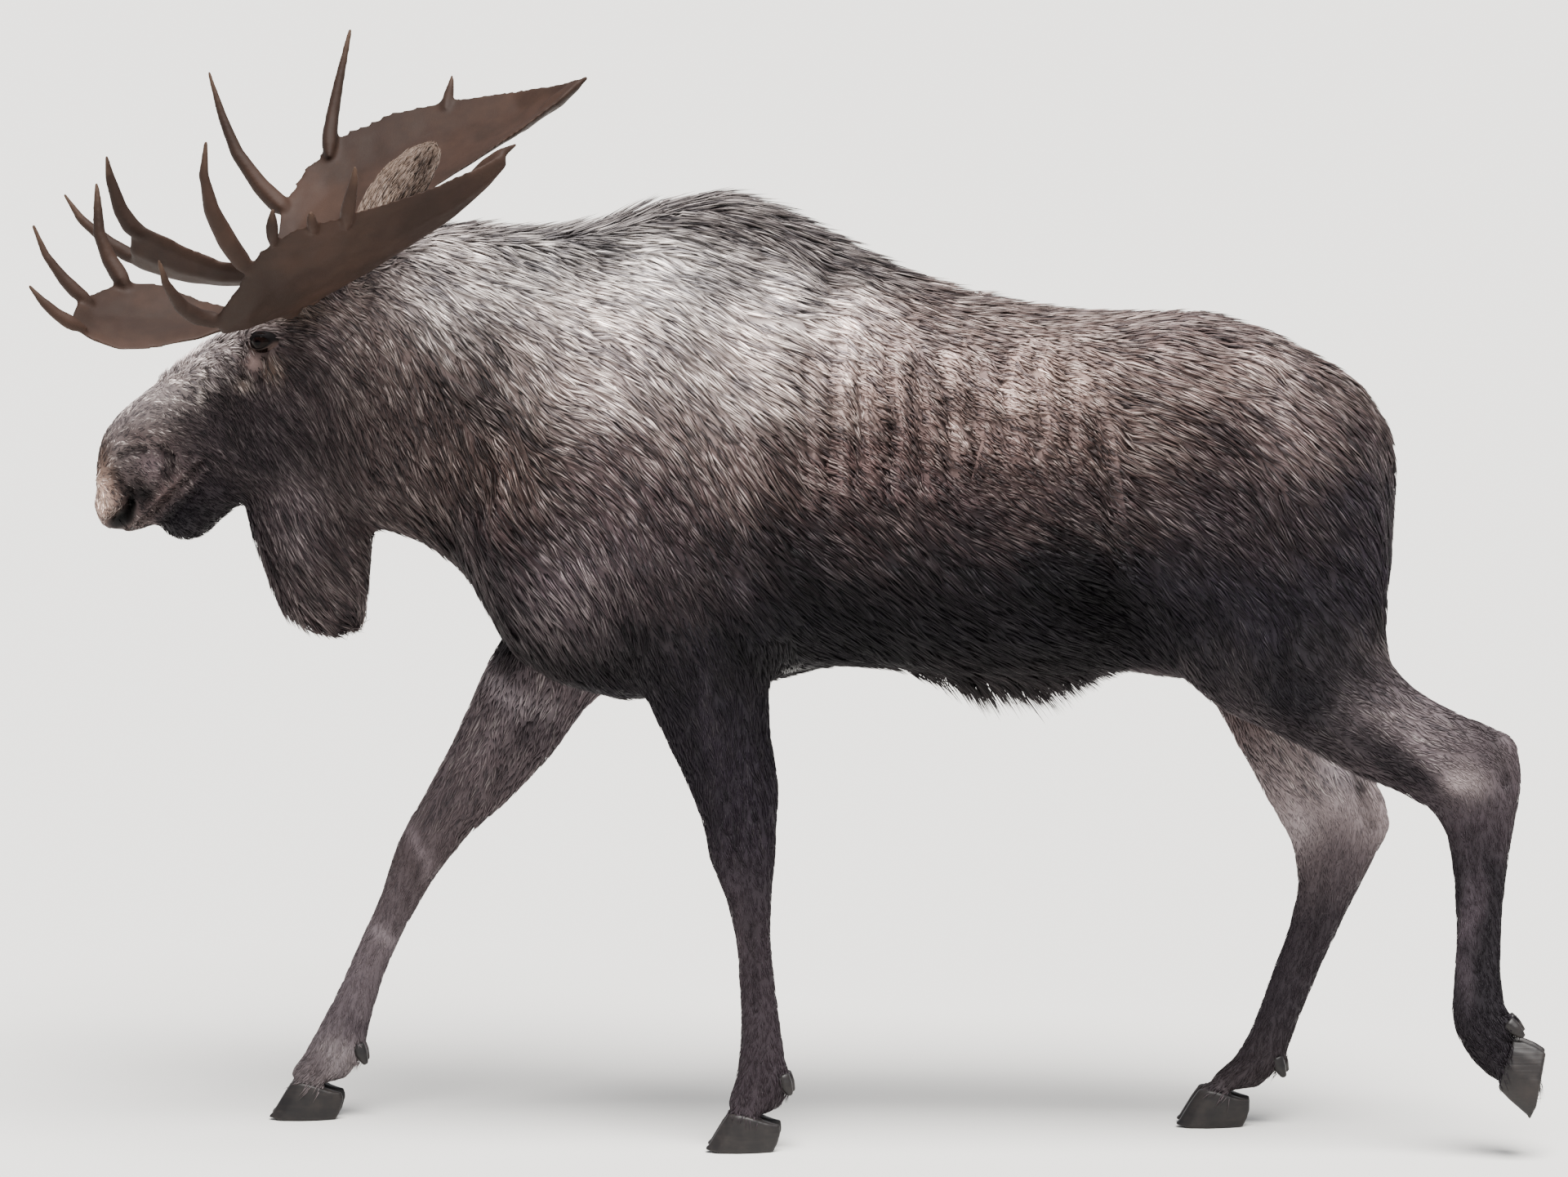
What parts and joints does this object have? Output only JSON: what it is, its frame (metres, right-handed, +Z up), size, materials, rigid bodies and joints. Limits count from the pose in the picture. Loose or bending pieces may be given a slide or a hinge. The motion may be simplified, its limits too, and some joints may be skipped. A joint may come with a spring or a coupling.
{
  "type": "bull moose",
  "caption": "Life-size still model of an adult bull moose in mid stride, with palmate antlers, a hanging bell and cloven hooves.",
  "frame": {"origin": "floor level under the middle of the whole model's box, antlers included", "axes": "+X from the head towards the tail, +Y towards the animal's right side, +Z up"},
  "size_m": [3.176, 1.2874, 2.3135],
  "materials": {
    "coat": "coarse brown guard hair, paler over the neck and shoulder",
    "dark_coat": "coarse near-black hair",
    "pale_coat": "short grey-brown leg hair",
    "antler": "weathered brown antler bone, semi-matte",
    "horn": "dark hoof horn, satin",
    "eye": "wet dark brown eye"
  },
  "bodies": {
    "root": {"antler_left_beam": "antler", "antler_left_brow": "antler", "antler_left_palm": "antler", "antler_right_beam": "antler", "antler_right_brow": "antler", "antler_right_palm": "antler", "bell": "dark_coat", "ear_left": "coat", "ear_right": "coat", "eye_left": "eye", "eye_right": "eye", "fore_leg_left_cannon": "pale_coat", "fore_leg_left_dewclaw_inner": "horn", "fore_leg_left_dewclaw_outer": "horn", "fore_leg_left_hoof_inner": "horn", "fore_leg_left_hoof_outer": "horn", "fore_leg_left_pastern": "pale_coat", "fore_leg_left_upper": "dark_coat", "fore_leg_right_cannon": "pale_coat", "fore_leg_right_dewclaw_inner": "horn", "fore_leg_right_dewclaw_outer": "horn", "fore_leg_right_hoof_inner": "horn", "fore_leg_right_hoof_outer": "horn", "fore_leg_right_pastern": "pale_coat", "fore_leg_right_upper": "dark_coat", "head": "coat", "hind_leg_left_cannon": "pale_coat", "hind_leg_left_dewclaw_inner": "horn", "hind_leg_left_dewclaw_outer": "horn", "hind_leg_left_hoof_inner": "horn", "hind_leg_left_hoof_outer": "horn", "hind_leg_left_pastern": "pale_coat", "hind_leg_left_upper": "dark_coat", "hind_leg_right_cannon": "pale_coat", "hind_leg_right_dewclaw_inner": "horn", "hind_leg_right_dewclaw_outer": "horn", "hind_leg_right_hoof_inner": "horn", "hind_leg_right_hoof_outer": "horn", "hind_leg_right_pastern": "pale_coat", "hind_leg_right_upper": "dark_coat", "lower_jaw": "dark_coat", "neck": "coat", "tail": "dark_coat", "trunk": "coat"}
  },
  "joints": []
}
